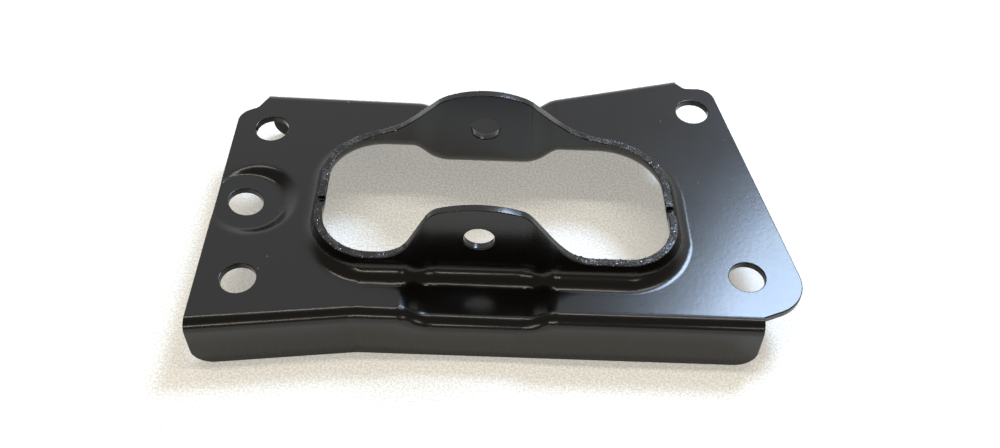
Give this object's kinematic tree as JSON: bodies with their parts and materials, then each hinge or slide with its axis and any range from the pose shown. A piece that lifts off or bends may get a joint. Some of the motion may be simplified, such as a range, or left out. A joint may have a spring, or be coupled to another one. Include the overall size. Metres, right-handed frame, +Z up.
{
  "type": "motor mounting bracket",
  "caption": "Pressed steel bracket: flanged plate with a dog-bone opening whose upturned collar rises into two ears for one through bolt.",
  "frame": {"origin": "middle of the bolt bore, halfway between the two ears", "axes": "+Z up out of the plate, +X along the bracket away from the tilted seat, +Y along the bolt bore"},
  "size_m": [0.2186, 0.1342, 0.058],
  "materials": {
    "coated_steel": "satin black e-coat"
  },
  "bodies": {
    "root": {"mounting_bracket": "coated_steel"}
  },
  "joints": []
}
